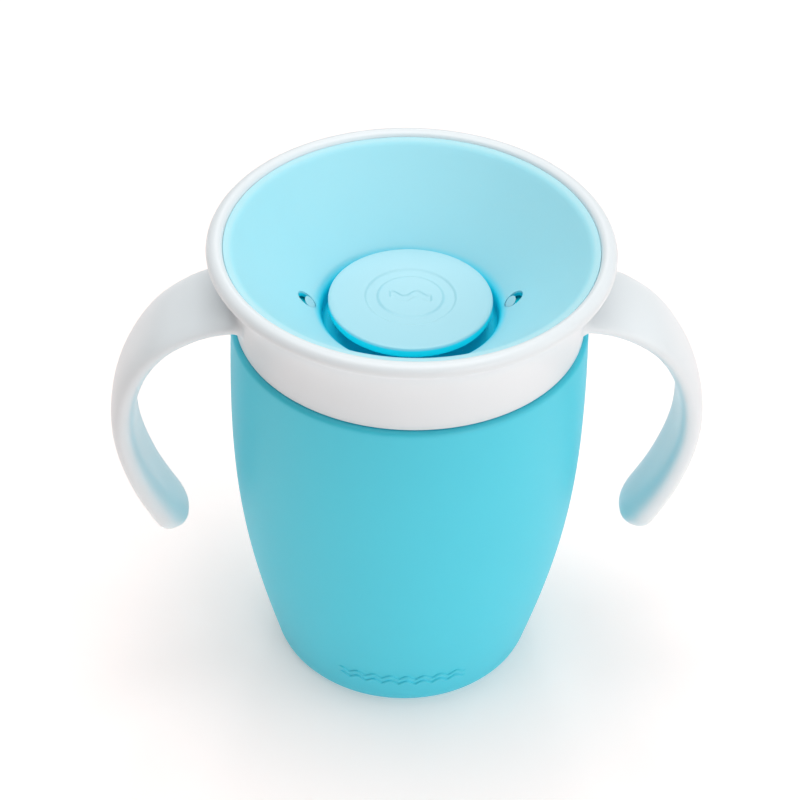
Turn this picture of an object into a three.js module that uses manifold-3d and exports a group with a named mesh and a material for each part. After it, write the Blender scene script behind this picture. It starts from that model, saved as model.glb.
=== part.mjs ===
// Two-handled toddler trainer cup that is drunk from all round its rim.
// Millimetres, +Z up, foot on z = 0, cup axis on Z, handles along -X and +X, front on -Y.
import * as THREE from "three";
import { mergeVertices } from "three/addons/utils/BufferGeometryUtils.js";
import Module from "manifold-3d";

const wasm = await Module();
wasm.setup();

// ---- driving dimensions ----
const TURNS = 48; // facets round every piece that is round about Z

const CURVE_STEPS = 12; // straight pieces a curve of an outline is cut into

const WALL = 2.2; // cup wall
const FLOOR_TOP = 2.6; // inside floor of the cup
const FOOT_RECESS = 0.7; // the middle of the foot stands this far off the table
const FOOT_RECESS_RADIUS = 18.6;
const FOOT_RADIUS = 24.0; // outside of the flat foot ring
const SHOULDER_Z = 84.4; // step the collar's skirt comes down to
const SHOULDER_RADIUS = 35.5;
const NECK_OUTER = 32.2;
const NECK_INNER = 30.2;
const LIP_Z = 90.9; // top of the cup's neck
// Outside of the cup above the foot, as the four points of a cubic curve: [radius, height].
const CUP_SIDE = [
  [28.6, 5],
  [36.2, 33],
  [37.6, 50],
  [36.5, 83],
];

// Two raised wavy lines low on the front.
const RIPPLE_ROWS = [8.4, 10.3]; // heights
const RIPPLE_SPAN = 0.96; // radians round the cup
const RIPPLE_MIDDLE = -Math.PI / 2 - 0.03;
const RIPPLE_WAVES = 8;
const RIPPLE_SWING = 0.55;
const RIPPLE_BEAD = 0.4;

const THREAD_LEAD = 8; // two starts, 4 mm apart
const THREAD_BEAD = 0.9; // radius of the rounded thread ridge
// Middle radius, height at 0 degrees, and the degrees each start runs from and to.
const CUP_THREAD = [32.55, 86.4, 0, 140];
const COLLAR_THREAD = [33.85, 84.4, 80, 180];

const SKIRT_BORE = 34.1; // inside of the collar round the neck
const SKIRT_Z = 85.0;
const SKIRT_RADIUS = 35.5;
const LEDGE_Z = [92.9, 93.9]; // inward ledge that presses the seal ring on the lip
const LEDGE_BORE = 30.6;
const POCKET_BORE = 35.2; // above the ledge, round the valve carrier
const POCKET_TOP = 98.5;
const RIM_BORE = 37.9; // inside of the drinking rim
const RIM_BORE_LOW = 100.9;
const RIM_WIDEST = [41.0, 102.5];
const RIM_TOP = [39.2, 104.2];

const SEAL = { inner: 30.7, outer: 33.4, low: 91.2, high: 92.6 };

const DISH_OUTER = 37.6;
const FRINGE = [36.0, 103.15]; // where the slope turns into the flat edge: [radius, height]
const FRINGE_TOP = 103.3;
const FRINGE_LOW = 102.4;
const DISH_FOOT = [18.4, 87.2]; // where the slope meets the well: [radius, height]
const DISH_THICK = 1.2;
const WELL_RADIUS = 17.9;
const WELL_FLOOR = 83.4; // top of the well's floor
const HUB_HOLE = 3.4;
const WINDOW_AT = 20.95; // distance of each window from the axis
const WINDOW_HALF = [1.7, 1.9]; // half length outwards, half width
const WINDOW_CUT = [85, 93]; // heights between which the windows are cut

const RING = { inner: 31.6, outer: 34.6, low: 94.2, high: 95.7 };
const HUB = { inner: 3.3, outer: 7.0, low: 79.6, high: 80.9 };
const SPOKE_WIDTH = 3.2;
const SPOKE_THICK = 1.6;
const VALVE_CLEARANCE = 0.8; // room for the valve to give under it
const PEG_RADIUS = 1.1;
const PEG_AT = 20.5;
const PEG_LOW = 83.5;
const PEG_BELOW_DISH = 0.35; // the peg's head is this far under the slope

const BUTTON_RADIUS = 16.7;
const BUTTON_TOP = 89.7;
const BUTTON_EDGE = 2.2; // thickness of the disc
const MARK = { inner: 8.3, outer: 8.9, depth: 0.3 }; // round groove in its top
const STEM_RADIUS = 2.9;
const STEM_LOW = 77.4;
const BARB_RADIUS = 3.15;

// Stations down the middle line of a handle: distance from the axis, height, half width
// (along Y), half thickness and depth of the scoop on its inside.
const HANDLE = [
  [33.0, 90.6, 11.8, 2.4, 0],
  [41.4, 88.5, 10.9, 2.4, 0],
  [51.0, 82.0, 10.0, 2.5, 0.1],
  [57.2, 71.0, 8.5, 2.85, 0.6],
  [58.8, 57.8, 7.7, 3.1, 1.0],
  [55.6, 44.1, 7.4, 3.4, 0.9],
  [48.6, 29.7, 7.0, 3.7, 0],
];
const SQUARENESS = 0.84; // 1 makes a handle's section an oval, and less makes it boxier
const HANDLE_STEPS = 18;
const HANDLE_AROUND = 16;
const TIP_ROUND = 6.2; // length of the rounded end
const TIP_STOPS = [0.3, 0.55, 0.75, 0.88, 0.96]; // shares of that length with a ring of points
const MOULD_GAP = 0.3; // between a handle and the collar it grows from

// ---- colours ----
const CUP_BLUE = new THREE.Color(0.17, 0.65, 0.78);
const VALVE_BLUE = new THREE.Color(0.36, 0.78, 0.88);
const BUTTON_BLUE = new THREE.Color(0.42, 0.83, 0.92);
const COLLAR_WHITE = new THREE.Color(0.93, 0.94, 0.94);
const SEAL_GREY = new THREE.Color(0.82, 0.84, 0.85);

function finish(color, roughness) {
  return new THREE.MeshStandardMaterial({ color, roughness, metalness: 0 });
}

// ---- solids ----
function solid(geometry) {
  const bare = geometry.clone();
  bare.deleteAttribute("normal");
  bare.deleteAttribute("uv");
  const merged = mergeVertices(bare, 1e-4);
  return new wasm.Manifold(
    new wasm.Mesh({
      numProp: 3,
      vertProperties: new Float32Array(merged.attributes.position.array),
      triVerts: new Uint32Array(merged.index.array),
    }),
  );
}

function node(name, shape, material) {
  const made = shape.getMesh();
  const geometry = new THREE.BufferGeometry();
  const points = new THREE.BufferAttribute(
    Float32Array.from(made.vertProperties),
    3,
  );
  geometry.setAttribute("position", points);
  geometry.setIndex(
    new THREE.BufferAttribute(Uint32Array.from(made.triVerts), 1),
  );
  geometry.computeVertexNormals();
  const mesh = new THREE.Mesh(geometry, material);
  mesh.name = name;
  return mesh;
}

// Points of a quadratic (three points) or cubic (four points) curve, as [radius, height].
function curve(corners, steps = CURVE_STEPS) {
  const points = corners.map(([r, z]) => new THREE.Vector2(r, z));
  const line =
    points.length === 3
      ? new THREE.QuadraticBezierCurve(...points)
      : new THREE.CubicBezierCurve(...points);
  return line.getPoints(steps).map(({ x, y }) => [x, y]);
}

// Spins a [radius, height] outline round Z. The outline runs with the material on its left.
function spin(outline, turns = TURNS) {
  const points = outline.map(([r, z]) => new THREE.Vector2(r, z));
  const geometry = new THREE.LatheGeometry(points, turns);
  geometry.rotateX(Math.PI / 2);
  return solid(geometry);
}

// A ring's outline closes on its own first point.
function ring(outline, turns = TURNS) {
  return spin([...outline, outline[0]], turns);
}

class Helix extends THREE.Curve {
  constructor(radius, z, from, to) {
    super();
    Object.assign(this, { radius, z, from, to });
  }
  getPoint(t, target = new THREE.Vector3()) {
    const angle = this.from + (this.to - this.from) * t;
    const height = this.z + (THREAD_LEAD * angle) / (2 * Math.PI);
    return target.set(
      this.radius * Math.cos(angle),
      this.radius * Math.sin(angle),
      height,
    );
  }
}

function roundBead(path, radius, steps, sides = 6) {
  const section = new THREE.Shape();
  for (let i = 0; i <= sides; i++) {
    const a = (2 * Math.PI * i) / sides;
    const x = radius * Math.cos(a);
    const y = radius * Math.sin(a);
    if (i === 0) section.moveTo(x, y);
    else section.lineTo(x, y);
  }
  const geometry = new THREE.ExtrudeGeometry(section, {
    steps,
    extrudePath: path,
    bevelEnabled: false,
  });
  return solid(geometry);
}

// A shape and its copy half a turn round Z.
function both(shape) {
  return shape.add(shape.rotate([0, 0, 180]));
}

// Two helical ridges, half a turn apart.
function threadRidges([radius, z, from, to]) {
  const { degToRad } = THREE.MathUtils;
  const path = new Helix(radius, z, degToRad(from), degToRad(to));
  return both(roundBead(path, THREAD_BEAD, 12));
}

// ---- cup body ----
function cupOutline() {
  const footEdge = curve([[FOOT_RADIUS, 0], [27.4, 0], CUP_SIDE[0]], 4);
  const shoulder = [
    CUP_SIDE[3],
    [36.4, SHOULDER_Z],
    [SHOULDER_RADIUS, SHOULDER_Z],
  ];
  const insideEdge = [
    [NECK_INNER, 84.5],
    [NECK_INNER, 82.2],
    [33.2, 82.0],
    [34.3, 79],
  ];
  const insideSide = [
    [34.3, 79],
    [CUP_SIDE[2][0] - WALL, CUP_SIDE[2][1]],
    [CUP_SIDE[1][0] - WALL, CUP_SIDE[1][1]],
    [26.9, 7.5],
  ];
  return [
    [0, FOOT_RECESS],
    [FOOT_RECESS_RADIUS, FOOT_RECESS],
    [FOOT_RECESS_RADIUS + 0.8, 0],
    ...footEdge,
    ...curve(CUP_SIDE).slice(1),
    ...curve(shoulder, 3).slice(1),
    [NECK_OUTER, SHOULDER_Z],
    [NECK_OUTER, LIP_Z - 0.5],
    [NECK_OUTER - 0.5, LIP_Z],
    [NECK_INNER + 0.5, LIP_Z],
    [NECK_INNER, LIP_Z - 0.5],
    ...curve(insideEdge, 5),
    ...curve(insideSide).slice(1),
    ...curve([[26.9, 7.5], [25.6, FLOOR_TOP], [21.5, FLOOR_TOP]], 4).slice(1),
    [0, FLOOR_TOP],
  ];
}

// Radius of the cup's outside at a height, straight between the points of its curve.
function cupRadiusAt(z) {
  const side = curve(CUP_SIDE);
  const above = side.findIndex((point) => point[1] > z);
  const [[r0, z0], [r1, z1]] = side.slice(above - 1, above + 1);
  return r0 + ((r1 - r0) * (z - z0)) / (z1 - z0);
}

class Ripple extends THREE.Curve {
  constructor(height) {
    super();
    this.height = height;
  }
  getPoint(t, target = new THREE.Vector3()) {
    const angle = RIPPLE_MIDDLE + (t - 0.5) * RIPPLE_SPAN;
    const wave = Math.sin(2 * Math.PI * RIPPLE_WAVES * t);
    const z = this.height + RIPPLE_SWING * wave;
    const radius = cupRadiusAt(z) - 0.1;
    return target.set(radius * Math.cos(angle), radius * Math.sin(angle), z);
  }
}

function cupBody() {
  let cup = spin(cupOutline()).add(threadRidges(CUP_THREAD));
  for (const height of RIPPLE_ROWS) {
    const steps = 6 * RIPPLE_WAVES;
    cup = cup.add(roundBead(new Ripple(height), RIPPLE_BEAD, steps, 5));
  }
  return cup;
}

// ---- collar ----
// Outside of the collar: up the skirt, out under the rim and round to its widest point.
const COLLAR_FLARE = [
  [SKIRT_RADIUS, SKIRT_Z],
  [35.8, 94],
  [37.0, 98.6],
  [39.9, 101.1],
];
const COLLAR_CURL = [COLLAR_FLARE[3], [40.6, 101.7], [41.0, 102.0], RIM_WIDEST];
const COLLAR_SIDE = [...curve(COLLAR_FLARE), ...curve(COLLAR_CURL, 3).slice(1)];

function collar() {
  const outerCrown = [RIM_WIDEST, [41.0, 103.5], [40.2, 104.2], RIM_TOP];
  const innerCrown = [
    RIM_TOP,
    [38.4, 104.2],
    [RIM_BORE, 103.9],
    [RIM_BORE, 103.2],
  ];
  const outline = [
    [SKIRT_BORE, SKIRT_Z],
    ...COLLAR_SIDE,
    ...curve(outerCrown, 5).slice(1),
    ...curve(innerCrown, 4).slice(1),
    [RIM_BORE, RIM_BORE_LOW],
    [POCKET_BORE, POCKET_TOP],
    [POCKET_BORE, LEDGE_Z[1]],
    [LEDGE_BORE, LEDGE_Z[1]],
    [LEDGE_BORE, LEDGE_Z[0]],
    [SKIRT_BORE, LEDGE_Z[0]],
  ];
  return ring(outline).add(threadRidges(COLLAR_THREAD));
}

// Everything inside the collar's outer face, a little oversize, to trim a handle's root.
function collarKeepOut() {
  const side = COLLAR_SIDE.map(([r, z]) => [r + MOULD_GAP, z]);
  const low = SKIRT_Z - 15;
  const high = RIM_TOP[1] + 5;
  return spin([
    [0, low],
    [SKIRT_RADIUS + MOULD_GAP, low],
    ...side,
    [RIM_WIDEST[0] + MOULD_GAP, high],
    [0, high],
  ]);
}

// ---- handles ----
function handleSection(half, thick, scoop) {
  const loop = [];
  for (let i = 0; i < HANDLE_AROUND; i++) {
    const a = (2 * Math.PI * i) / HANDLE_AROUND;
    const c = Math.cos(a);
    const s = Math.sin(a);
    const across = half * Math.sign(c) * Math.abs(c) ** SQUARENESS;
    let out = thick * Math.sign(s) * Math.abs(s) ** SQUARENESS;
    if (s < 0) out += scoop * (1 - (across / half) ** 2) ** 1.5;
    loop.push([across, out]);
  }
  return loop;
}

// Rings of points from the root to the tip of the handle on +X.
function handleRings() {
  const middle = HANDLE.map(([x, z]) => new THREE.Vector3(x, 0, z));
  const sizes = HANDLE.map((row) => new THREE.Vector3(...row.slice(2)));
  const line = new THREE.CatmullRomCurve3(middle, false, "catmullrom");
  const sizeLine = new THREE.CatmullRomCurve3(sizes, false, "catmullrom");
  const length = line.getLength();
  const straight = (length - TIP_ROUND) / length;
  const stops = [];
  for (let i = 0; i <= HANDLE_STEPS; i++) {
    stops.push((straight * i) / HANDLE_STEPS);
  }
  for (const q of TIP_STOPS) {
    stops.push(straight + (1 - straight) * q);
  }
  const rings = stops.map((u) => {
    const at = line.getPointAt(u);
    const along = line.getTangentAt(u);
    const size = sizeLine.getPoint(line.getUtoTmapping(u));
    const q = Math.max(0, 1 - (length * (1 - u)) / TIP_ROUND);
    const half = size.x * Math.sqrt(1 - q * q);
    const thick = size.y * Math.sqrt(1 - q ** 4);
    return handleSection(half, thick, size.z * (1 - q)).map(([across, out]) => [
      at.x - along.z * out,
      across,
      at.z + along.x * out,
    ]);
  });
  return { rings, tip: line.getPointAt(1), root: line.getPointAt(0) };
}

function handleOnRight() {
  const { rings, tip, root } = handleRings();
  const n = HANDLE_AROUND;
  const points = rings.flat(2);
  const rootIndex = rings.length * n;
  points.push(root.x, root.y, root.z, tip.x, tip.y, tip.z);
  const faces = [];
  for (let i = 0; i + 1 < rings.length; i++) {
    for (let k = 0; k < n; k++) {
      const a = i * n + k;
      const b = i * n + ((k + 1) % n);
      faces.push(a, b, a + n, b, b + n, a + n);
    }
  }
  const last = (rings.length - 1) * n;
  for (let k = 0; k < n; k++) {
    const next = (k + 1) % n;
    faces.push(rootIndex, next, k);
    faces.push(rootIndex + 1, last + k, last + next);
  }
  const geometry = new THREE.BufferGeometry();
  geometry.setAttribute(
    "position",
    new THREE.Float32BufferAttribute(points, 3),
  );
  geometry.setIndex(faces);
  return solid(geometry).subtract(collarKeepOut());
}

// ---- seal ring between the cup's lip and the collar's ledge ----
function lidGasket() {
  const { inner, outer, low, high } = SEAL;
  const edge = 0.3;
  return ring([
    [inner + edge, low],
    [outer - edge, low],
    [outer, low + edge],
    [outer, high - edge],
    [outer - edge, high],
    [inner + edge, high],
    [inner, high - edge],
    [inner, low + edge],
  ]);
}

// ---- silicone valve ----
const DISH_SLOPE = (FRINGE[1] - DISH_FOOT[1]) / (FRINGE[0] - DISH_FOOT[0]);
const DISH_DROP = DISH_THICK * Math.hypot(1, DISH_SLOPE); // thickness straight down

function dishTopAt(r) {
  return DISH_FOOT[1] + DISH_SLOPE * (r - DISH_FOOT[0]);
}

function windowCutter() {
  const oval = new THREE.Shape();
  oval.absellipse(0, 0, WINDOW_HALF[0], WINDOW_HALF[1], 0, 2 * Math.PI);
  const geometry = new THREE.ExtrudeGeometry(oval, {
    depth: WINDOW_CUT[1] - WINDOW_CUT[0],
    bevelEnabled: false,
    curveSegments: 8,
  });
  geometry.translate(WINDOW_AT, 0, WINDOW_CUT[0]);
  return solid(geometry);
}

function siliconeValve() {
  const wellOutside = WELL_RADIUS + DISH_THICK;
  const wellBottom = WELL_FLOOR - DISH_THICK;
  const outerFoot = FRINGE[0] - 0.5;
  const body = ring([
    [HUB_HOLE, wellBottom],
    [wellOutside - 0.6, wellBottom],
    [wellOutside, wellBottom + 0.6],
    [wellOutside, dishTopAt(wellOutside) - DISH_DROP],
    [outerFoot, dishTopAt(outerFoot) - DISH_DROP],
    [DISH_OUTER, FRINGE_LOW],
    [DISH_OUTER, FRINGE_TOP - 0.25],
    [DISH_OUTER - 0.3, FRINGE_TOP],
    FRINGE,
    [27.5, dishTopAt(27.5) - 0.2],
    [DISH_FOOT[0] + 0.6, dishTopAt(DISH_FOOT[0] + 0.6)],
    [DISH_FOOT[0], DISH_FOOT[1] - 0.1],
    [WELL_RADIUS, DISH_FOOT[1] - 0.9],
    [WELL_RADIUS, WELL_FLOOR + 0.8],
    [WELL_RADIUS - 0.8, WELL_FLOOR],
    [HUB_HOLE, WELL_FLOOR],
  ]);
  return body.subtract(both(windowCutter()));
}

// ---- valve carrier: ring, sloping spokes, hub and two locating pegs ----
function spokeOnRight() {
  const drop = DISH_DROP + VALVE_CLEARANCE;
  const notch = LEDGE_BORE - 0.5;
  const knee = [WELL_RADIUS + DISH_THICK + 1.3, 0];
  knee[1] = dishTopAt(knee[0]) - drop;
  const top = [
    [RING.inner + 1.2, RING.high],
    [RING.inner - 0.2, RING.high - 0.3],
    [knee[0] + 0.6, knee[1]],
    [knee[0], knee[1] - 0.8],
    [knee[0], 81.6],
    [knee[0] - 1.2, HUB.high],
    [HUB.outer - 1.5, HUB.high],
  ];
  const low = [
    [HUB.outer - 1.5, HUB.low],
    [knee[0] + 0.4, HUB.low],
    [knee[0] + SPOKE_THICK, HUB.low + 1.2],
    [knee[0] + SPOKE_THICK, knee[1] - 1.9],
    [notch - 0.3, dishTopAt(notch) - drop - SPOKE_THICK],
    [notch, RING.low],
    [RING.inner + 1.2, RING.low],
  ];
  const side = new THREE.Shape(
    [...top, ...low].map(([x, z]) => new THREE.Vector2(x, z)),
  );
  const geometry = new THREE.ExtrudeGeometry(side, {
    depth: SPOKE_WIDTH,
    bevelEnabled: false,
  });
  geometry.rotateX(Math.PI / 2);
  geometry.translate(0, SPOKE_WIDTH / 2, 0);
  return solid(geometry);
}

function pegOnRight() {
  const high = dishTopAt(PEG_AT) - PEG_BELOW_DISH;
  const peg = spin(
    [
      [0, PEG_LOW],
      [PEG_RADIUS, PEG_LOW],
      [PEG_RADIUS, high - 0.3],
      [PEG_RADIUS - 0.3, high],
      [0, high],
    ],
    16,
  );
  return peg.translate([PEG_AT, 0, 0]);
}

function valveCarrier() {
  const rim = ring([
    [RING.inner, RING.low],
    [RING.outer, RING.low],
    [RING.outer, RING.high],
    [RING.inner, RING.high],
  ]);
  const hub = ring([
    [HUB.inner, HUB.low],
    [HUB.outer, HUB.low],
    [HUB.outer, HUB.high],
    [HUB.inner, HUB.high],
  ]);
  const spoke = spokeOnRight();
  let carrier = rim.add(hub).add(both(pegOnRight()));
  for (const turn of [0, 90, 180, 270]) {
    carrier = carrier.add(spoke.rotate([0, 0, turn]));
  }
  return carrier;
}

// ---- centre button with its stem ----
function centreButton() {
  const low = BUTTON_TOP - BUTTON_EDGE;
  const button = spin([
    [0, STEM_LOW],
    [STEM_RADIUS - 0.7, STEM_LOW],
    [BARB_RADIUS, STEM_LOW + 1.2],
    [STEM_RADIUS, STEM_LOW + 1.6],
    [STEM_RADIUS, low - 1.2],
    [STEM_RADIUS + 1.2, low],
    [BUTTON_RADIUS - 0.35, low],
    [BUTTON_RADIUS, low + 0.35],
    [BUTTON_RADIUS, BUTTON_TOP - 0.5],
    [BUTTON_RADIUS - 0.5, BUTTON_TOP],
    [0, BUTTON_TOP],
  ]);
  const groove = ring([
    [MARK.inner, BUTTON_TOP - MARK.depth],
    [MARK.outer, BUTTON_TOP - MARK.depth],
    [MARK.outer + 0.2, BUTTON_TOP + 0.5],
    [MARK.inner - 0.2, BUTTON_TOP + 0.5],
  ]);
  return button.subtract(groove);
}

// ---- assembly ----
const cup = new THREE.Group();
cup.name = "trainer_cup";

const lid = new THREE.Group();
lid.name = "lid";
const white = finish(COLLAR_WHITE, 0.35);
const rightHandle = handleOnRight();
lid.add(node("collar", collar(), white));
lid.add(node("handle_right", rightHandle, finish(COLLAR_WHITE, 0.35)));
lid.add(
  node(
    "handle_left",
    rightHandle.rotate([0, 0, 180]),
    finish(COLLAR_WHITE, 0.35),
  ),
);

const valveSet = new THREE.Group();
valveSet.name = "valve_set";
valveSet.add(node("silicone_valve", siliconeValve(), finish(VALVE_BLUE, 0.6)));
valveSet.add(node("valve_carrier", valveCarrier(), finish(BUTTON_BLUE, 0.45)));
valveSet.add(node("centre_button", centreButton(), finish(BUTTON_BLUE, 0.35)));

cup.add(node("cup_body", cupBody(), finish(CUP_BLUE, 0.38)));
cup.add(node("lid_gasket", lidGasket(), finish(SEAL_GREY, 0.7)));
cup.add(lid);
cup.add(valveSet);

export default cup;
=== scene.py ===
# %% [markdown]
# # A two-handled trainer cup, drunk from all round its rim
# The real cup is six mouldings: a turquoise cup, a white collar with both handles on it, a seal
# ring, a soft funnel-shaped valve, the hard frame under it and the button in its middle.
# The CAD frame says where each one is and how it moves. This lesson gives each one the fine
# surface and the finish of the real moulding. Everything is in metres, with +Z up.

# %% Load the frame
import math

import bmesh
import bpy
from mathutils import Matrix, Vector


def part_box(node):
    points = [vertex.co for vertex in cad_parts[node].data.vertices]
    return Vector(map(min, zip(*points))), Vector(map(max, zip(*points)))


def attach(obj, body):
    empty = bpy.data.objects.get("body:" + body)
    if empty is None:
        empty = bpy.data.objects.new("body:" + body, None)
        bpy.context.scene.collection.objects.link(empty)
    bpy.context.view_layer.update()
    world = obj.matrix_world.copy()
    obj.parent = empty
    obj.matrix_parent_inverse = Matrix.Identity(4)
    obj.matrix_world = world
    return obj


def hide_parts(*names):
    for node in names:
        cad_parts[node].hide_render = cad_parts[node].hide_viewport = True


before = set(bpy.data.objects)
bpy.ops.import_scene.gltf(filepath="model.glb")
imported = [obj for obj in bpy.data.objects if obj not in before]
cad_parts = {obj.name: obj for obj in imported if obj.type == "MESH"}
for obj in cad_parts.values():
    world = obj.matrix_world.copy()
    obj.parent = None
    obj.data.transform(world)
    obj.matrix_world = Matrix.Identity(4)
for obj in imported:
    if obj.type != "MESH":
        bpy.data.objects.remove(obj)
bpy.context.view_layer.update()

# %% [markdown]
# ## Camera
# A product shot of a cup looks down into it from about arm's length with a long lens, so that
# the rim reads as a calm ellipse. The camera is placed by its distance and height angle from
# the middle of the rim, and then tipped a little further down so that the foot is in view.
# The cup stands turned by a few degrees, which is the same as the camera walking round it.

# %% Place the camera
MM = 0.001
CAMERA_DISTANCE = 505 * MM
CAMERA_HEIGHT_ANGLE = math.radians(36.3)
CAMERA_PITCH = math.radians(39.88)
CAMERA_ROLL = math.radians(1.46)
CAMERA_WALK_ROUND = math.radians(-2.6)
CAMERA_ASIDE = -1.6 * MM
CAMERA_LENS_MM = 114.1

rim_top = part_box("collar")[1].z
rim_middle = Vector((0, 0, rim_top - 0.5 * MM))
eye = rim_middle + Vector(
    (
        CAMERA_ASIDE,
        -CAMERA_DISTANCE * math.cos(CAMERA_HEIGHT_ANGLE),
        CAMERA_DISTANCE * math.sin(CAMERA_HEIGHT_ANGLE),
    )
)
camera = bpy.data.objects.new("camera", bpy.data.cameras.new("camera"))
bpy.context.scene.collection.objects.link(camera)
camera.data.lens = CAMERA_LENS_MM
camera.matrix_world = (
    Matrix.Rotation(CAMERA_WALK_ROUND, 4, "Z")
    @ Matrix.Translation(eye)
    @ Matrix.Rotation(math.pi / 2 - CAMERA_PITCH, 4, "X")
    @ Matrix.Rotation(CAMERA_ROLL, 4, "Z")
)
bpy.context.scene.camera = camera
print("camera at", [round(v, 3) for v in camera.matrix_world.translation])

# %% [markdown]
# ## Shaping helpers
# Almost every piece of the cup was turned in a mould, so its shape is half a section spun round
# the axis. A mould maker draws that section as corners, each with its own rounding, because a
# sharp corner neither fills nor comes out of the mould. `rounded` does the same: it takes
# (radius, height, rounding) in millimetres and puts a small arc in place of each corner.

# %% Outlines
ARC_STEPS = 5
TURNS = 192


def curve(start, pull_out, pull_in, end, steps):
    """Points along one cubic curve, both ends included, each with no rounding of its own."""
    points = []
    for k in range(steps + 1):
        t = k / steps
        weights = ((1 - t) ** 3, 3 * t * (1 - t) ** 2, 3 * t * t * (1 - t), t**3)
        radius, height = (
            sum(w * p[axis] for w, p in zip(weights, (start, pull_out, pull_in, end)))
            for axis in (0, 1)
        )
        points.append((radius, height, 0))
    return points


def radius_at(side, height):
    """Radius of a side at a height, straight between the side's points."""
    for (r0, z0, _), (r1, z1, _) in zip(side, side[1:]):
        if height <= z1:
            return r0 + (r1 - r0) * (height - z0) / (z1 - z0)
    return side[-1][0]


def rounded(corners):
    """Turns (radius, height, rounding) corners in millimetres into outline points in metres."""
    points = []
    for i, (radius, height, rounding) in enumerate(corners):
        here = Vector((radius, height))
        if not rounding:
            points.append(here * MM)
            continue
        before = Vector(corners[i - 1][:2])
        after = Vector(corners[(i + 1) % len(corners)][:2])
        start = here + (before - here).normalized() * rounding
        end = here + (after - here).normalized() * rounding
        for k in range(ARC_STEPS + 1):
            t = k / ARC_STEPS
            bent = start * (1 - t) ** 2 + here * (2 * t * (1 - t)) + end * t * t
            points.append(bent * MM)
    return points


# %% [markdown]
# ## Turning and pulling
# `turned` spins an outline into a closed solid. `pulled` makes what a spin can't: a tube that
# changes its section as it goes, such as a handle. It starts from a circle and extrudes its
# edge from ring to ring. `combine` welds or cuts two solids.


# %% Turned pieces
def as_piece(name, work):
    """Finishes a bmesh as an object at the origin, with its faces pointing outwards."""
    bmesh.ops.remove_doubles(work, verts=work.verts, dist=0.002 * MM)
    bmesh.ops.recalc_face_normals(work, faces=work.faces)
    mesh = bpy.data.meshes.new(name)
    work.to_mesh(mesh)
    work.free()
    mesh.shade_smooth()
    piece = bpy.data.objects.new(name, mesh)
    bpy.context.scene.collection.objects.link(piece)
    return piece


def turned(name, corners, on_axis=False, turns=TURNS):
    """Spins half a section round Z. It ends on the axis, or closes on itself as a ring."""
    work = bmesh.new()
    verts = [work.verts.new((p.x, 0, p.y)) for p in rounded(corners)]
    ends = verts if on_axis else verts + verts[:1]
    edges = [work.edges.new(pair) for pair in zip(ends, ends[1:])]
    bmesh.ops.spin(
        work,
        geom=verts + edges,
        cent=(0, 0, 0),
        axis=(0, 0, 1),
        angle=2 * math.pi,
        steps=turns,
        use_merge=True,
    )
    return as_piece(name, work)


# %% Pulled pieces
def pulled(name, rings):
    """A closed tube through rings of points, extruded from one ring to the next."""
    work = bmesh.new()
    count = len(rings[0])
    circle = bmesh.ops.create_circle(work, cap_ends=True, segments=count, radius=1)
    ring = circle["verts"]
    for vert, point in zip(ring, rings[0]):
        vert.co = point
    edges = [e for e in work.edges if len(e.link_faces) == 1]
    for points in rings[1:]:
        made = bmesh.ops.extrude_edge_only(work, edges=edges)["geom"]
        fresh = {g for g in made if isinstance(g, bmesh.types.BMVert)}
        ring = [
            next(e.other_vert(v) for e in v.link_edges if e.other_vert(v) in fresh)
            for v in ring
        ]
        for vert, point in zip(ring, points):
            vert.co = point
        edges = [e for e in work.edges if e.verts[0] in fresh and e.verts[1] in fresh]
    work.faces.new(ring)
    return as_piece(name, work)


SHARP_ANGLE = math.radians(38)


def combine(base, tool, operation):
    """Welds (UNION) or cuts (DIFFERENCE) base with tool, and throws the tool away."""
    change = base.modifiers.new("combine", "BOOLEAN")
    change.object = tool
    change.operation = operation
    change.solver = "MANIFOLD"
    graph = bpy.context.evaluated_depsgraph_get()
    shaped = bpy.data.meshes.new_from_object(base.evaluated_get(graph))
    base.modifiers.clear()
    base.data = shaped
    shaped.set_sharp_from_angle(angle=SHARP_ANGLE)
    bpy.data.objects.remove(tool)
    return base


def turn_by(piece, degrees):
    """Turns a piece's mesh round Z."""
    piece.data.transform(Matrix.Rotation(math.radians(degrees), 4, "Z"))
    return piece


# %% [markdown]
# ## Beads and threads
# A raised line on a moulding is a small round bead that follows a path: the screw thread and
# the ripples on the front. Its ends run out to almost nothing, as a cutter leaves them.

# %% Beads along a path
BEAD_SIDES = 16
RUN_OUT = 0.06
THINNEST = 0.12


def bead(name, path, size, steps):
    """A round bead along path(t) for t from 0 to 1, in metres, thinning at both ends."""
    rings = []
    for k in range(steps + 1):
        t = k / steps
        here = path(t)
        along = (path(min(t + 0.002, 1)) - path(max(t - 0.002, 0))).normalized()
        side = along.cross(Vector((0, 0, 1))).normalized()
        up = side.cross(along)
        fade = min(1, min(t, 1 - t) / RUN_OUT)
        width = size * max(THINNEST, math.sin(fade * math.pi / 2))
        ring = []
        for n in range(BEAD_SIDES):
            angle = 2 * math.pi * n / BEAD_SIDES
            ring.append(here + (side * math.cos(angle) + up * math.sin(angle)) * width)
        rings.append(ring)
    return pulled(name, rings)


THREAD_LEAD = 8
THREAD_BEAD = 0.9
THREAD_STEPS = 60


def thread(radius, height, from_degrees, to_degrees):
    """One start of the screw thread, as a path for a bead."""

    def path(t):
        angle = math.radians(from_degrees + (to_degrees - from_degrees) * t)
        rise = THREAD_LEAD * angle / (2 * math.pi)
        around = Vector((math.cos(angle), math.sin(angle), 0)) * radius
        return (around + Vector((0, 0, height + rise))) * MM

    return path


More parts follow.
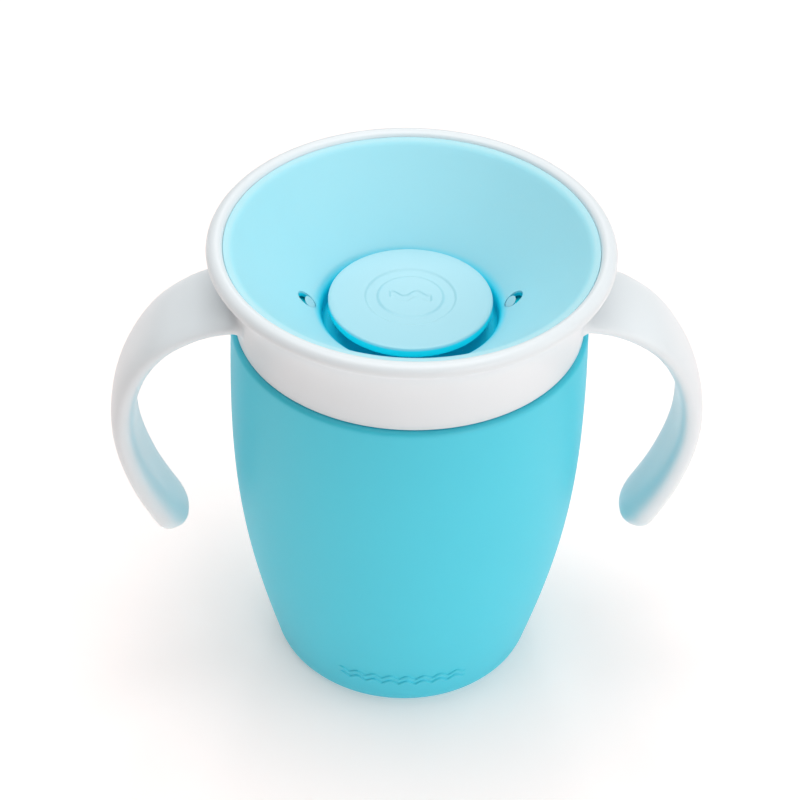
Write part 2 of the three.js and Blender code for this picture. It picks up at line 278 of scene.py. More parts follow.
def add_thread(piece, radius, height, from_degrees, to_degrees):
    """Welds a two-start thread onto a piece."""
    for turn in (0, 180):
        path = thread(radius, height, from_degrees, to_degrees)
        ridge = turn_by(bead("ridge", path, THREAD_BEAD * MM, THREAD_STEPS), turn)
        combine(piece, ridge, "UNION")


# %% [markdown]
# ## Cup body
# The cup is one turquoise moulding: a full round barrel that draws in towards a small foot,
# a soft shoulder, and a plain neck with the screw thread on it. One cubic curve gives the
# whole barrel, because a turned side with a single sweep catches the light without a kink.
# Low on the front are two raised ripples.

# %% Cup body
WALL = 2.2
SHOULDER = 84.4
LIP = 90.9
NECK_OUTER = 32.2
NECK_INNER = 30.2
BARREL = ((28.6, 5), (36.2, 33), (37.6, 50), (36.5, 82.6))


def barrel(inset, steps=28):
    """The cup's side from foot to shoulder, moved inwards by inset."""
    return curve(*((r - inset, z) for r, z in BARREL), steps)


foot = [
    (0, 1.2, 0),
    (1.4, 1.2, 0.3),
    (2.0, 0.7, 0.3),
    (18.7, 0.7, 0.3),
    (19.5, 0, 0.4),
    (27.3, 0, 3.2),
]
neck = [
    (36.45, SHOULDER, 1.2),
    (NECK_OUTER, SHOULDER, 0.5),
    (NECK_OUTER, LIP, 0.6),
    (NECK_INNER, LIP, 0.6),
    (NECK_INNER, 84.2, 1.2),
    (34.1, 80.6, 1.4),
]
inside = [p for p in reversed(barrel(WALL)) if 9 < p[1] < 78]
floor_inside = [(25.6, 2.6, 3.6), (0, 2.6, 0)]
cup = turned("cup_shell", foot + barrel(0) + neck + inside + floor_inside, on_axis=True)
print("cup body", len(cup.data.polygons), "faces")

# %% Thread and front ripples of the cup
CUP_THREAD = (32.55, 86.4, 0, 140)
add_thread(cup, *CUP_THREAD)

RIPPLE_SPAN = 0.96
RIPPLE_MIDDLE = -math.pi / 2 - 0.03
RIPPLE_WAVES = 8
RIPPLE_ROWS = (8.4, 10.3)
RIPPLE_SWING = 0.55
RIPPLE_BEAD = 0.4
RIPPLE_SUNK = 0.08
RIPPLE_STEPS = 240


def ripple(height):
    """A wavy path round the front of the barrel."""

    def path(t):
        angle = RIPPLE_MIDDLE + (t - 0.5) * RIPPLE_SPAN
        z = height + RIPPLE_SWING * math.sin(t * RIPPLE_WAVES * 2 * math.pi)
        radius = radius_at(barrel(0), z) - RIPPLE_SUNK
        return Vector((radius * math.cos(angle), radius * math.sin(angle), z)) * MM

    return path


for height in RIPPLE_ROWS:
    line = bead("ripple", ripple(height), RIPPLE_BEAD * MM, RIPPLE_STEPS)
    combine(cup, line, "UNION")
print("cup with thread and ripple", len(cup.data.polygons), "faces")

# %% [markdown]
# ## White collar with its handles
# On the real cup this is one white moulding: the skirt that screws over the neck, the flared
# drinking rim, and two open handles that grow from the skirt with a soft fillet. The collar is
# turned and the handles are pulled, then all three are welded, so that no joint line shows.

# %% Turned collar
SKIRT_BOTTOM = 84.6
SKIRT_BORE = 34.1
LEDGE = (92.9, 93.9)
LEDGE_BORE = 30.6
POCKET_BORE = 35.2
RIM_BORE = 37.66
RIM_WIDEST = (41.0, 102.5)
RIM_TOP = (39.2, 104.2)
COLLAR_THREAD = (33.85, 84.4, 80, 180)

flare = curve((35.5, SKIRT_BOTTOM + 0.4), (35.8, 94), (37.0, 98.6), (39.9, 101.1), 26)
curl = curve((39.9, 101.1), (40.6, 101.7), (41.0, 102.0), RIM_WIDEST, 8)[1:]
outer_crown = curve(RIM_WIDEST, (41.0, 103.5), (40.2, 104.2), RIM_TOP, 12)[1:]
inner_crown = curve(RIM_TOP, (38.4, 104.2), (37.8, 103.9), (37.7, 103.2), 12)[1:]
bore = [
    (RIM_BORE, 102.8, 0),
    (RIM_BORE, 100.9, 0.4),
    (POCKET_BORE, 98.5, 0.4),
    (POCKET_BORE, LEDGE[1], 0.4),
    (LEDGE_BORE, LEDGE[1], 0.3),
    (LEDGE_BORE, LEDGE[0], 0.3),
    (SKIRT_BORE, LEDGE[0], 0.4),
    (SKIRT_BORE, SKIRT_BOTTOM, 0.3),
    (35.5, SKIRT_BOTTOM, 0.3),
]
collar = turned("white_collar", flare + curl + outer_crown + inner_crown + bore)
add_thread(collar, *COLLAR_THREAD)
print("collar", len(collar.data.polygons), "faces")


def collar_radius(height):
    """Outside radius of the collar's skirt and flare at a height, in millimetres."""
    return radius_at(flare, height)


# %% [markdown]
# ### Handles
# A handle is a strap that leaves the collar wide and flat, bends down beside the cup, narrows
# to a rounded grip with a shallow scoop on its inside, and ends free in a round tip. It is
# drawn as seven stations: distance from the axis, height, half width, half thickness and
# depth of the scoop. A smooth curve through all five numbers gives every ring between them.

# %% Handle stations
HANDLE = [
    (33.0, 90.6, 11.8, 2.4, 0.0),
    (41.4, 88.5, 10.9, 2.4, 0.0),
    (51.0, 82.0, 10.0, 2.5, 0.1),
    (57.2, 71.0, 8.5, 2.85, 0.6),
    (58.8, 57.8, 7.7, 3.1, 1.0),
    (55.6, 44.1, 7.4, 3.4, 0.9),
    (48.6, 29.7, 7.0, 3.7, 0.0),
]
STATION_STEPS = 40


def through(rows, steps):
    """A smooth curve through rows of numbers, each row bending towards its neighbours."""
    first = tuple(2 * a - b for a, b in zip(rows[0], rows[1]))
    last = tuple(2 * a - b for a, b in zip(rows[-1], rows[-2]))
    padded = [first, *rows, last]
    points = []
    for quad in zip(padded, padded[1:], padded[2:], padded[3:]):
        for k in range(steps):
            t = k / steps
            points.append(
                tuple(
                    b
                    + 0.5 * t * (c - a)
                    + t * t * (a - 2.5 * b + 2 * c - 0.5 * d)
                    + 0.5 * t**3 * (3 * b - a - 3 * c + d)
                    for a, b, c, d in zip(*quad)
                )
            )
    return [*points, rows[-1]]


handle_rows = through(HANDLE, STATION_STEPS)
steps_between = [math.dist(a[:2], b[:2]) for a, b in zip(handle_rows, handle_rows[1:])]
handle_length = sum(steps_between)
print("handle length", round(handle_length, 1), "mm")


# %% Handle rings
HANDLE_AROUND = 48
FILLET = 1.9
FILLET_RINGS = 9
STRAIGHTEN_FROM = 2.0
STRAIGHTEN_TO = 9.0
RING_EVERY = 1.1
TIP_LENGTH = 6.2
TIP_RINGS = 12
SQUARENESS = 0.84


def row_between(low, high, share):
    return tuple(a + (b - a) * share for a, b in zip(low, high))


def row_where(reached):
    """The first handle row at which reached(row, distance along) is true, and its direction."""
    along = 0
    for low, high, step in zip(handle_rows, handle_rows[1:], steps_between):
        if reached(high, along + step):
            share = 0.5
            for halving in range(2, 14):
                row = row_between(low, high, share)
                nudge = 0.5**halving
                share += -nudge if reached(row, along + step * share) else nudge
            direction = Vector((high[0] - low[0], 0, high[1] - low[1])).normalized()
            return row_between(low, high, share), direction
        along += step
    low, high = handle_rows[-2:]
    return high, Vector((high[0] - low[0], 0, high[1] - low[1])).normalized()


def section(row, direction, grow=0.0, shrink_width=1.0, shrink_depth=1.0):
    """One ring of the handle, in millimetres, on the +X side."""
    x, z, half, thick, scoop = row
    half = (half + grow) * shrink_width
    thick = (thick + grow) * shrink_depth
    outward = Vector((-direction.z, 0, direction.x))
    ring = []
    for n in range(HANDLE_AROUND):
        angle = 2 * math.pi * n / HANDLE_AROUND
        c, s = math.cos(angle), math.sin(angle)
        across = half * math.copysign(abs(c) ** SQUARENESS, c)
        out = thick * math.copysign(abs(s) ** SQUARENESS, s)
        if s < 0:
            out += scoop * shrink_width * (1 - (across / half) ** 2) ** 1.5
        ring.append(Vector((x, across, z)) + outward * out)
    return ring


def root_ring(gap, grow):
    """A ring that stands off the collar by gap all round, so that the fillet hugs it."""
    row, direction = row_where(lambda r, _: r[0] >= collar_radius(r[1]) + gap)
    flat = min(1, max(0, (gap - STRAIGHTEN_FROM) / (STRAIGHTEN_TO - STRAIGHTEN_FROM)))
    flat = flat * flat * (3 - 2 * flat)
    ring = []
    for point in section(row, direction, grow):
        hugging = math.sqrt((collar_radius(point.z) + gap) ** 2 - point.y**2)
        x = hugging * (1 - flat) + point.x * flat
        ring.append(Vector((x, point.y, point.z)))
    return ring


def handle_rings():
    rings = [root_ring(-0.8, FILLET)]
    for k in range(FILLET_RINGS + 1):
        angle = math.pi / 2 * k / FILLET_RINGS
        gap = FILLET * (1 - math.cos(angle)) - 0.03
        rings.append(root_ring(gap, FILLET * (1 - math.sin(angle))))
    gap = FILLET
    while gap < STRAIGHTEN_TO:
        gap += 0.8
        rings.append(root_ring(gap, 0))
    start = STRAIGHTEN_TO + 3.0
    while collar_radius(90) + start - 33 < handle_length - TIP_LENGTH - 0.6:
        along = start + collar_radius(90) - 33
        rings.append(section(*row_where(lambda _, s, along=along: s >= along)))
        start += RING_EVERY
    for k in range(TIP_RINGS):
        q = math.sin(math.pi / 2 * k / TIP_RINGS)
        along = handle_length - TIP_LENGTH * (1 - q)
        row, direction = row_where(lambda _, s, along=along: s >= along)
        width = math.sqrt(1 - q * q)
        depth = math.sqrt(1 - q**4)
        rings.append(section(row, direction, 0, width, depth))
    return [[p * MM for p in ring] for ring in rings]


# %% Weld the handles to the collar
rings = handle_rings()
for turn in (0, 180):
    handle = turn_by(pulled("handle", rings), turn)
    combine(collar, handle, "UNION")
print("white moulding", len(collar.data.polygons), "faces")

# %% [markdown]
# ## Seal ring
# A soft grey ring lies between the cup's lip and the collar's ledge. It only shows when the lid
# is unscrewed. A real one has a groove on each face, which makes two sealing ribs.

# %% Seal ring
seal_low, seal_high = (corner.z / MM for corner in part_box("lid_gasket"))
SEAL_INNER = 30.7
SEAL_OUTER = 33.4
seal_middle = (SEAL_INNER + SEAL_OUTER) / 2
seal = turned(
    "seal_ring",
    [
        (SEAL_INNER, seal_low, 0.3),
        (seal_middle - 0.4, seal_low, 0.12),
        (seal_middle, seal_low + 0.25, 0.12),
        (seal_middle + 0.4, seal_low, 0.12),
        (SEAL_OUTER, seal_low, 0.3),
        (SEAL_OUTER, seal_high, 0.3),
        (seal_middle + 0.4, seal_high, 0.12),
        (seal_middle, seal_high - 0.25, 0.12),
        (seal_middle - 0.4, seal_high, 0.12),
        (SEAL_INNER, seal_high, 0.3),
    ],
)
print("seal ring", len(seal.data.polygons), "faces")

# %% [markdown]
# ## Silicone valve
# The valve is a soft funnel. Its thin outer fringe lies against the rim and gives under a lip,
# the slope runs down to a round well, and the well's floor is clamped under the button. Two
# oval windows in the slope fit over pegs, which keep it from turning.

# %% Silicone valve
DISH_OUTER = 37.63
DISH_TOP = 103.3
DISH_FOOT = (18.4, 87.2)
FRINGE_INNER = (36.0, 103.15)
DISH_THICK = 1.2
WELL = 17.9
WELL_FLOOR = 83.4
HUB_HOLE = 3.4
slope = (FRINGE_INNER[1] - DISH_FOOT[1]) / (FRINGE_INNER[0] - DISH_FOOT[0])
dish_drop = DISH_THICK * math.hypot(1, slope)


def dish_top(radius):
    """Height of the funnel's upper face."""
    return DISH_FOOT[1] + slope * (radius - DISH_FOOT[0])


under = [
    (HUB_HOLE, WELL_FLOOR - DISH_THICK, 0.2),
    (WELL + DISH_THICK, WELL_FLOOR - DISH_THICK, 0.9),
    (WELL + DISH_THICK, dish_top(WELL + DISH_THICK) - dish_drop, 0.6),
    (FRINGE_INNER[0] + 0.3, DISH_TOP - 1.2, 0.4),
    (DISH_OUTER, DISH_TOP - 0.9, 0.3),
]
fringe = [(DISH_OUTER, DISH_TOP + 0.1, 0.25), (*FRINGE_INNER, 0.9)]
funnel = curve(
    (34.4, dish_top(34.4) - 0.15),
    (30, dish_top(30) - 0.4),
    (24, dish_top(24) - 0.4),
    (WELL + 1.6, dish_top(WELL + 1.6) - 0.2),
    22,
)
well = [
    (WELL + 0.1, dish_top(WELL) - 0.15, 1.1),
    (WELL, WELL_FLOOR, 1.0),
    (HUB_HOLE, WELL_FLOOR, 0.2),
]
valve = turned("valve_dish", under + fringe + funnel + well)

# %% Windows in the valve
WINDOW_AT = 20.95
WINDOW_HALF = (1.8, 1.9)
WINDOW_CUT_LOW = 84.8
WINDOW_CUT_TALL = 8


def window_cutter():
    """An oval plug through the slope, on the +X side."""
    work = bmesh.new()
    face = bmesh.ops.create_circle(work, cap_ends=True, segments=40, radius=1)
    size = Vector((*WINDOW_HALF, 1)) * MM
    bmesh.ops.scale(work, vec=(size.x, size.y, 1), verts=face["verts"])
    place = Vector((WINDOW_AT, 0, WINDOW_CUT_LOW)) * MM
    bmesh.ops.translate(work, vec=place, verts=face["verts"])
    raised = bmesh.ops.extrude_face_region(work, geom=list(work.faces))["geom"]
    lifted = [g for g in raised if isinstance(g, bmesh.types.BMVert)]
    bmesh.ops.translate(work, vec=(0, 0, WINDOW_CUT_TALL * MM), verts=lifted)
    return as_piece("window", work)


for turn in (0, 180):
    combine(valve, turn_by(window_cutter(), turn), "DIFFERENCE")
print("silicone valve", len(valve.data.polygons), "faces")

# %% [markdown]
# ## Valve frame
# Under the soft valve sits a hard spider: an outer ring on the collar's ledge, four arms that
# follow the slope down, a hub for the button's stem and two pegs. It is mostly hidden, but it
# shows through the windows and when the valve set is pulled out.

# %% Valve frame
RING = (31.6, 34.6, 94.2, 95.7)
HUB = (3.3, 7.0, 79.6, 80.9)
ARM_WIDTH = 3.2
ARM_THICK = 1.6
ARM_CLEAR = 0.8
ARM_EDGE = 0.18
PEG_AT = 20.3
PEG_HALF = (1.05, 1.6)
PEG_TALL = 4.4
PEG_BELOW_FACE = 0.2
PAD_AT = 23.3
PAD_HALF = (3.6, 4.6)
PAD_THICK = 1.2


def flat_ring(name, inner, outer, low, high, rounding):
    """A plain turned ring with rounded edges."""
    return turned(
        name,
        [
            (inner, low, rounding),
            (outer, low, rounding),
            (outer, high, rounding),
            (inner, high, rounding),
        ],
        turns=96,
    )


def arm(turn):
    """One arm, drawn from the side, given its width, and rounded along its edges."""
    drop = dish_drop + ARM_CLEAR
    knee = WELL + DISH_THICK + 1.3
    knee_top = dish_top(knee) - drop
    notch = LEDGE_BORE - 0.5
    side = [
        (RING[0] + 1.2, RING[3] - 0.05),
        (RING[0] - 0.2, RING[3] - 0.3),
        (knee + 0.6, knee_top),
        (knee, knee_top - 0.8),
        (knee, 81.6),
        (knee - 1.2, HUB[3] - 0.05),
        (HUB[1] - 1.5, HUB[3] - 0.05),
        (HUB[1] - 1.5, HUB[2] + 0.05),
        (knee + 0.4, HUB[2] + 0.05),
        (knee + ARM_THICK, HUB[2] + 1.2),
        (knee + ARM_THICK, knee_top - 1.9),
        (notch - 0.3, dish_top(notch) - drop - ARM_THICK),
        (notch, RING[2] + 0.05),
        (RING[0] + 1.2, RING[2] + 0.05),
    ]
    work = bmesh.new()
    verts = [work.verts.new(Vector((x, -ARM_WIDTH / 2, z)) * MM) for x, z in side]
    face = work.faces.new(verts)
    made = bmesh.ops.extrude_face_region(work, geom=[face])["geom"]
    far = [g for g in made if isinstance(g, bmesh.types.BMVert)]
    bmesh.ops.translate(work, vec=(0, ARM_WIDTH * MM, 0), verts=far)
    bmesh.ops.bevel(
        work,
        geom=list(work.edges),
        offset=ARM_EDGE * MM,
        offset_type="OFFSET",
        segments=2,
        profile=0.5,
        affect="EDGES",
        material=-1,
        clamp_overlap=True,
    )
    return turn_by(as_piece("arm", work), turn)


def slanted(name, at, low, half, tall, edge):
    """An oval boss on +X whose top and foot follow the funnel's slope."""
    made = turned(
        name,
        [(0, 0, 0), (1, 0, 0), (1, tall, edge), (0, tall, 0)],
        on_axis=True,
        turns=48,
    )
    for vert in made.data.vertices:
        vert.co.x *= half[0]
        vert.co.y *= half[1]
        vert.co.z += low * MM + slope * vert.co.x
        vert.co.x += at * MM
    return made


def peg():
    """A locating peg, with its head just under the funnel's face."""
    low = dish_top(PEG_AT) - PEG_TALL - PEG_BELOW_FACE
    return slanted("peg", PEG_AT, low, PEG_HALF, PEG_TALL, 0.3)


def pad():
    """A thin pad under a window, which stops the valve tearing there."""
    low = dish_top(PAD_AT) - dish_drop - ARM_CLEAR - PAD_THICK
    return slanted("pad", PAD_AT, low, PAD_HALF, PAD_THICK, 0)


carrier = flat_ring("valve_frame", *RING, 0.3)
for turn in (0, 90, 180, 270):
    combine(carrier, arm(turn), "UNION")
combine(carrier, flat_ring("hub", *HUB, 0.3), "UNION")
for turn in (0, 180):
    combine(carrier, turn_by(pad(), turn), "UNION")
    combine(carrier, turn_by(peg(), turn), "UNION")
print("valve frame", len(carrier.data.polygons), "faces")

# %% [markdown]
# ## Centre button
# The button is a flat disc over the well with a rounded edge. Its stem goes through the valve
# and snaps into the frame. A sunk ring round one sunk wave marks its top.

# %% Centre button
BUTTON = 16.7
BUTTON_TOP = 89.7
BUTTON_EDGE = 2.2
MARK_OUTER = 9.4
MARK_INNER = 6.4
MARK_DEPTH = 0.22
MARK_STEP = 0.15
DOME = 0.45
stem = [
    (0, 77.4, 0),
    (2.2, 77.4, 0.3),
    (3.15, 78.6, 0.25),
    (2.9, 79.1, 0.15),
    (2.9, BUTTON_TOP - BUTTON_EDGE, 1.2),
]
edge = [(BUTTON, BUTTON_TOP - BUTTON_EDGE, 0.35), (BUTTON, BUTTON_TOP, 0.5)]
face = [
    (MARK_STEP * k, BUTTON_TOP, 0) for k in range(int((BUTTON - 1) / MARK_STEP), -1, -1)
]
button = turned("centre_disc", stem + edge + face, on_axis=True)

WAVE_LENGTH = 5.0
WAVE_SWING = 0.8
WAVE_HALF_SPAN = 4.4
EDGE_SOFTNESS = 0.5
LINE_OUTER = 1.15
LINE_INNER = 0.75


def ramp(value, low, high):
    """0 at low, 1 at high and smooth between."""
    t = min(1, max(0, (value - low) / (high - low)))
    return t * t * (3 - 2 * t)


def mark_depth(x, y):
    """How deep the button's mark is at a point: a round band with one wave inside it."""
    r = math.hypot(x, y)
    band = ramp(r, MARK_INNER, MARK_INNER + EDGE_SOFTNESS)
    band -= ramp(r, MARK_OUTER - EDGE_SOFTNESS, MARK_OUTER)
    wave = abs(y - WAVE_SWING * math.sin(2 * math.pi * x / WAVE_LENGTH))
    along = ramp(abs(x), WAVE_HALF_SPAN, WAVE_HALF_SPAN - EDGE_SOFTNESS)
    inked = ramp(wave, LINE_OUTER, LINE_INNER) * along
    return MARK_DEPTH * max(band, inked)


for vert in button.data.vertices:
    x, y, z = vert.co / MM
    if z > BUTTON_TOP - 0.01:
        z += DOME * (1 - (math.hypot(x, y) / BUTTON) ** 2) - mark_depth(x, y)
        vert.co.z = z * MM
print("button", len(button.data.polygons), "faces")

# %% [markdown]
# ## Materials
# All the finishes are moulded plastic or silicone, and what tells them apart is how they
# scatter light. Hard plastic has a clear, slightly broken highlight, silicone a soft one, and
# both let a little light in. The patterns are worked out from each piece's own coordinates, so
# they stay with the piece. `Wire` lets the sums be written as plain arithmetic, and
# `Finish.add` makes any other node from its type, its settings and its inputs.


# %% A small language for finishes
def linear(red, green, blue):
    """A colour from 0 to 255 a channel, as the shader wants it."""

    def channel(value):
        value = value / 255
        if value <= 0.04045:
            return value / 12.92
        return ((value + 0.055) / 1.055) ** 2.4

    return (channel(red), channel(green), channel(blue), 1)


class Wire:
    """An output in a finish, on which arithmetic adds the nodes."""

    def __init__(self, finish, socket):
        self.finish = finish
        self.socket = socket

    def maths(self, operation, left, right):
        return self.finish.add("ShaderNodeMath", {"operation": operation}, [left, right])

    def __add__(self, other):
        return self.maths("ADD", self, other)

    def __sub__(self, other):
        return self.maths("SUBTRACT", self, other)

    def __rsub__(self, other):
        return self.maths("SUBTRACT", other, self)

    def __mul__(self, other):
        return self.maths("MULTIPLY", self, other)

    __radd__ = __add__
    __rmul__ = __mul__


class Finish:
    """A material under construction."""

    def __init__(self, name):
        self.material = bpy.data.materials.new(name)
        self.material.use_nodes = True
        self.tree = self.material.node_tree
        self.tree.nodes.clear()
        self.place = self.add("ShaderNodeTexCoord", output="Object")

    def add(self, kind, settings=None, inputs=(), output=0):
        node = self.tree.nodes.new(kind)
        for setting, value in (settings or {}).items():
            setattr(node, setting, value)
        named = inputs.items() if isinstance(inputs, dict) else enumerate(inputs)
        for key, value in named:
            if isinstance(value, Wire):
                self.tree.links.new(value.socket, node.inputs[key])
            else:
                node.inputs[key].default_value = value
        return Wire(self, node.outputs[output]) if node.outputs else node

    def noise(self, grain, detail=3.0, stretch=(1, 1, 1)):
        """A cloudy pattern whose patches are about grain metres across."""
        settings = {"vector_type": "POINT"}
        placed = self.add(
            "ShaderNodeMapping", settings, {"Vector": self.place, "Scale": stretch}
        )
        inputs = {"Vector": placed, "Scale": 1 / grain, "Detail": detail}
        return self.add("ShaderNodeTexNoise", {}, inputs)

    def step(self, value, low, high):
        """0 below low, 1 above high, and smooth between."""
        settings = {"interpolation_type": "SMOOTHSTEP"}
        inputs = {"Value": value, "From Min": low, "From Max": high}
        return self.add("ShaderNodeMapRange", settings, inputs)

    def axis(self, name):
        """One of the piece's X, Y or Z coordinates."""
        return self.add("ShaderNodeSeparateXYZ", {}, [self.place], output=name)

    def from_axis(self):
        """Distance from the cup's own axis."""
        settings = {"operation": "MULTIPLY"}
        inputs = [self.place, (1, 1, 0)]
        flat = self.add("ShaderNodeVectorMath", settings, inputs)
        return self.add(
            "ShaderNodeVectorMath", {"operation": "LENGTH"}, [flat], output="Value"
        )

    def mix(self, share, one, other):
        """A colour between one and other."""
        inputs = {0: share, 6: one, 7: other}
        return self.add("ShaderNodeMix", {"data_type": "RGBA"}, inputs, output=2)

    def finish(self, colour, roughness, height, depth, **constants):
        """Ends in the surface shader, with a bump of the given depth."""
        bump = self.add(
            "ShaderNodeBump", {}, {"Height": height, "Distance": depth, "Strength": 1.0}
        )
        inputs = {"Base Color": colour, "Roughness": roughness, "Normal": bump}
        for key, value in constants.items():
            inputs[key.replace("_", " ")] = value
        surface = self.add("ShaderNodeBsdfPrincipled", {}, inputs)
        self.add("ShaderNodeOutputMaterial", {}, {"Surface": surface})
        return self.material


def dress(piece, material):
    """Gives a piece one finish."""
    piece.data.materials.clear()
    piece.data.materials.append(material)


# %% [markdown]
# ### Turquoise polypropylene
# The cup is a deep turquoise with a satin polish. Real polypropylene shows faint clouds where
# the pigment flowed, a very fine grain from the mould, and rubbed, paler plastic on the edge
# of the foot, where it slides on tables.


# %% Turquoise polypropylene
def turquoise_plastic():
    f = Finish("turquoise_polypropylene")
    clouds = f.noise(0.03)
    fine = f.noise(0.0006, 2.0)
    scuffs = f.noise(0.0016, 4.0, (1, 1, 5))
    worn = (1 - f.step(f.axis("Z"), 0.0, 0.0035)) * f.step(scuffs, 0.45, 0.7)
    body = f.mix(clouds, linear(50, 210, 233), linear(56, 215, 237))
    colour = f.mix(worn * 0.35, body, linear(150, 218, 230))
    roughness = 0.46 + fine * 0.06 + worn * 0.2
    return f.finish(
        colour,
        roughness,
        fine,
        0.000004,
        IOR=1.49,
        Specular_IOR_Level=0.9,
        Subsurface_Weight=0.12,
        Subsurface_Radius=(0.3, 0.8, 1.0),
        Subsurface_Scale=0.002,
    )


dress(cup, turquoise_plastic())


# %% [markdown]
# ### White polypropylene
# The collar and handles are a clean white with the same polish. Handling leaves fine, faint
# streaks that only change the gloss.


# %% White polypropylene
def white_plastic():
    f = Finish("white_polypropylene")
    clouds = f.noise(0.04)
    fine = f.noise(0.0007, 2.0)
    streaks = f.step(f.noise(0.004, 5.0, (1, 1, 0.25)), 0.55, 0.75)
    colour = f.mix(clouds, linear(231, 238, 241), linear(237, 243, 246))
    roughness = 0.31 + fine * 0.05 + streaks * 0.06
    return f.finish(
        colour,
        roughness,
        fine,
        0.000003,
        IOR=1.49,
        Subsurface_Weight=0.1,
        Subsurface_Radius=(1.0, 0.95, 0.9),
        Subsurface_Scale=0.002,
    )


dress(collar, white_plastic())


# %% [markdown]
# ### Aqua silicone
# The valve is matt and slightly see-through, so it is paler at its thin fringe. Down in the
# well, on the walls of the windows and on its underside its colour is painted deeper and more
# saturated, as painted shade. Silicone has a dry, powdery grain and picks up a little dust.


# %% Silicones
def below_dish(f):
    """How far a point lies under the funnel's upper face, in metres."""
    return f.from_axis() * slope + dish_top(0) * MM - f.axis("Z")


def aqua_silicone():
    f = Finish("aqua_silicone")
    clouds = f.noise(0.02)
    grain = f.noise(0.0004, 3.0)
    dust = f.step(f.noise(0.0011, 2.0), 0.72, 0.8)
    thin = f.step(f.from_axis(), 0.0358, 0.0368)
    # Painted shade: down in the well, on the window walls and on the underside the colour is
    # made deeper and more saturated.
    well_painted_shade = 1 - f.step(f.axis("Z"), 0.0865, 0.0885)
    inside_edge = 1 - f.step(f.from_axis(), 0.028, 0.03)
    window_painted_shade = f.step(below_dish(f), 0.0005, 0.001) * inside_edge
    deep = 1 - (1 - well_painted_shade) * (1 - window_painted_shade)
    body = f.mix(clouds, linear(168, 233, 248), linear(174, 236, 250))
    body_with_painted_shade = f.mix(deep, body, linear(16, 228, 255))
    paler = f.mix(thin * 0.5, body_with_painted_shade, linear(200, 240, 248))
    colour = f.mix(dust * 0.12, paler, linear(225, 240, 244))
    roughness = 0.5 + grain * 0.1 + dust * 0.1
    return f.finish(
        colour,
        roughness,
        grain,
        0.000006,
        IOR=1.42,
        Specular_IOR_Level=0.3,
        Subsurface_Weight=0.2,
        Subsurface_Radius=(0.5, 0.9, 1.0),
        Subsurface_Scale=0.002,
    )


def grey_silicone():
    f = Finish("grey_silicone")
    grain = f.noise(0.0004, 3.0)
    colour = f.mix(f.noise(0.01), linear(214, 217, 219), linear(224, 227, 229))
    roughness = 0.55 + grain * 0.1
    return f.finish(colour, roughness, grain, 0.000006, IOR=1.42)


dress(valve, aqua_silicone())
dress(seal, grey_silicone())


# %% [markdown]
# ### Aqua plastic
# The button and the frame under the valve are hard and a little glossier than the silicone.
# Their upper faces are pale, and the button's side and the frame's parts under the valve are
# painted a deeper colour, as painted shade. Fingertips polish the middle of the button.


# %% Aqua plastic
def aqua_plastic():
    f = Finish("aqua_plastic")
    clouds = f.noise(0.02)
    fine = f.noise(0.0005, 2.0)
    touched = 1 - f.step(f.from_axis(), 0.004, 0.014)
    top = f.mix(clouds, linear(168, 222, 234), linear(174, 226, 238))
    # Painted shade: the button's side and stem and the frame's parts sunk under the valve get a
    # deeper, more saturated colour than the pale upper faces.
    below_face_painted_shade = 1 - f.step(f.axis("Z"), 0.0889, 0.0894)
    side = below_face_painted_shade * (1 - f.step(f.from_axis(), 0.0171, 0.0174))
    sunk_painted_shade = f.step(below_dish(f), 0.0008, 0.0012)
    colour = f.mix(side + sunk_painted_shade, top, linear(20, 242, 255))
    roughness = 0.33 + fine * 0.05 - touched * 0.03
    return f.finish(
        colour,
        roughness,
        fine,
        0.000004,
        IOR=1.49,
    )


hard_aqua = aqua_plastic()
dress(button, hard_aqua)
dress(carrier, hard_aqua)
print("finishes", [m.name for m in bpy.data.materials if m.users])

# %% [markdown]
# ## What moves with what
# Each new piece stands for its CAD node and rides on that node's body. The white moulding
# stands for three nodes, the collar and both handles.

# %% Ride and replace
RIDES = [
    (cup, "cup", "cup_plastic", ["cup_body"]),
    (collar, "lid", "white_plastic", ["collar", "handle_left", "handle_right"]),
    (seal, "seal", "seal_silicone", ["lid_gasket"]),
    (valve, "valve", "valve_silicone", ["silicone_valve"]),
    (carrier, "valve_frame", "button_plastic", ["valve_carrier"]),
    (button, "valve_frame", "button_plastic", ["centre_button"]),
]
for piece, body, slot, nodes in RIDES:
    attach(piece, body)
    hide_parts(*nodes)
    print(piece.name, "rides on", body, "and stands for", nodes)

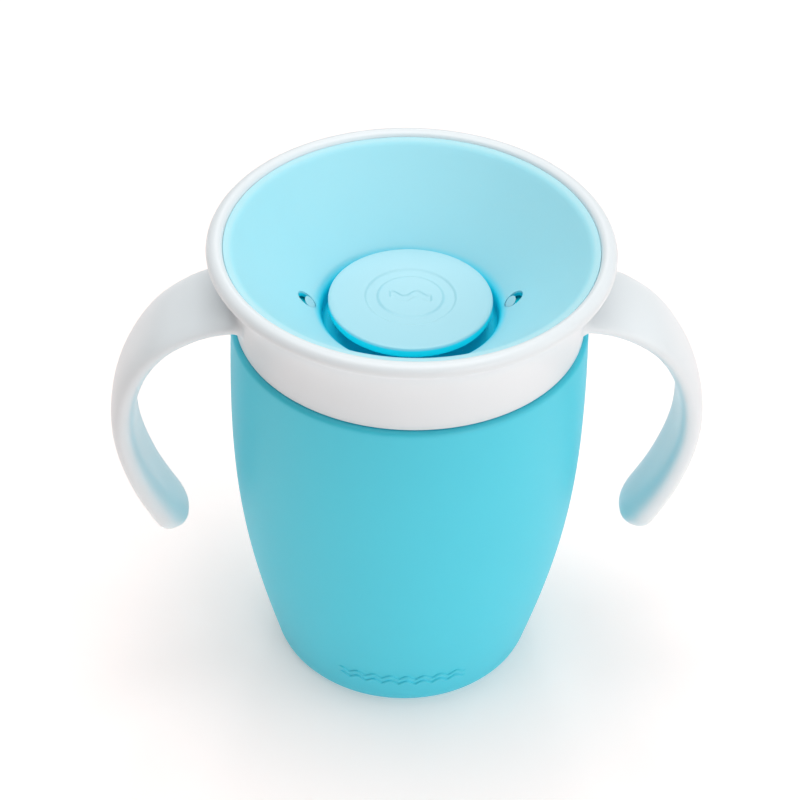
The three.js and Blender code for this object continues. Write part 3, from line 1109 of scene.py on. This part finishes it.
# %% [markdown]
# ## Floor and light
# The cup stands on white paper in soft studio light: a broad lamp overhead, two smaller ones
# on the right and in front, a small one behind that puts a glint on the upper faces, and a
# pale room all round. The paper glows a little of itself, as an overexposed backdrop does, so
# that only a soft shadow is left round the foot.

# %% Paper floor
FLOOR_HALF = 3.0


def paper_floor():
    work = bmesh.new()
    bmesh.ops.create_grid(work, x_segments=1, y_segments=1, size=FLOOR_HALF)
    mesh = bpy.data.meshes.new("paper")
    work.to_mesh(mesh)
    work.free()
    paper = bpy.data.objects.new("paper", mesh)
    bpy.context.scene.collection.objects.link(paper)
    f = Finish("paper")
    fibres = f.noise(0.002, 4.0)
    colour = f.mix(fibres, linear(250, 244, 243), linear(252, 246, 245))
    inputs = {
        "Base Color": colour,
        "Roughness": 0.9,
        "Specular IOR Level": 0.0,
        "Emission Color": (1, 0.78, 0.71, 1),
        "Emission Strength": 0.28,
    }
    surface = f.add("ShaderNodeBsdfPrincipled", {}, inputs)
    f.add("ShaderNodeOutputMaterial", {}, {"Surface": surface})
    dress(paper, f.material)


paper_floor()


# %% Lamps and room
def soft_lamp(name, place, target, size, watts):
    """A square softbox at place, turned to face target."""
    lamp = bpy.data.objects.new(name, bpy.data.lights.new(name, "AREA"))
    lamp.data.size = size
    lamp.data.energy = watts
    lamp.location = place
    lamp.rotation_euler = (Vector(target) - Vector(place)).to_track_quat("-Z", "Y").to_euler()
    bpy.context.scene.collection.objects.link(lamp)


cup_middle = (0, 0, rim_top / 2)
soft_lamp("top_lamp", (-0.03, 0.15, 1.15), cup_middle, 1.0, 9.4)
soft_lamp("side_lamp", (0.95, -0.3, 0.5), cup_middle, 0.6, 1.5)
soft_lamp("front_lamp", (0.65, -1.0, 0.42), cup_middle, 0.6, 3.3)
soft_lamp("glint_lamp", (0.05, 1.0, 0.72), cup_middle, 0.2, 0.8)

room = bpy.data.worlds.new("room")
room.use_nodes = True
room_light = room.node_tree.nodes["Background"]
room_light.inputs["Color"].default_value = (1, 1, 1, 1)
room_light.inputs["Strength"].default_value = 0.25
bpy.context.scene.world = room
bpy.context.scene.view_settings.view_transform = "Standard"
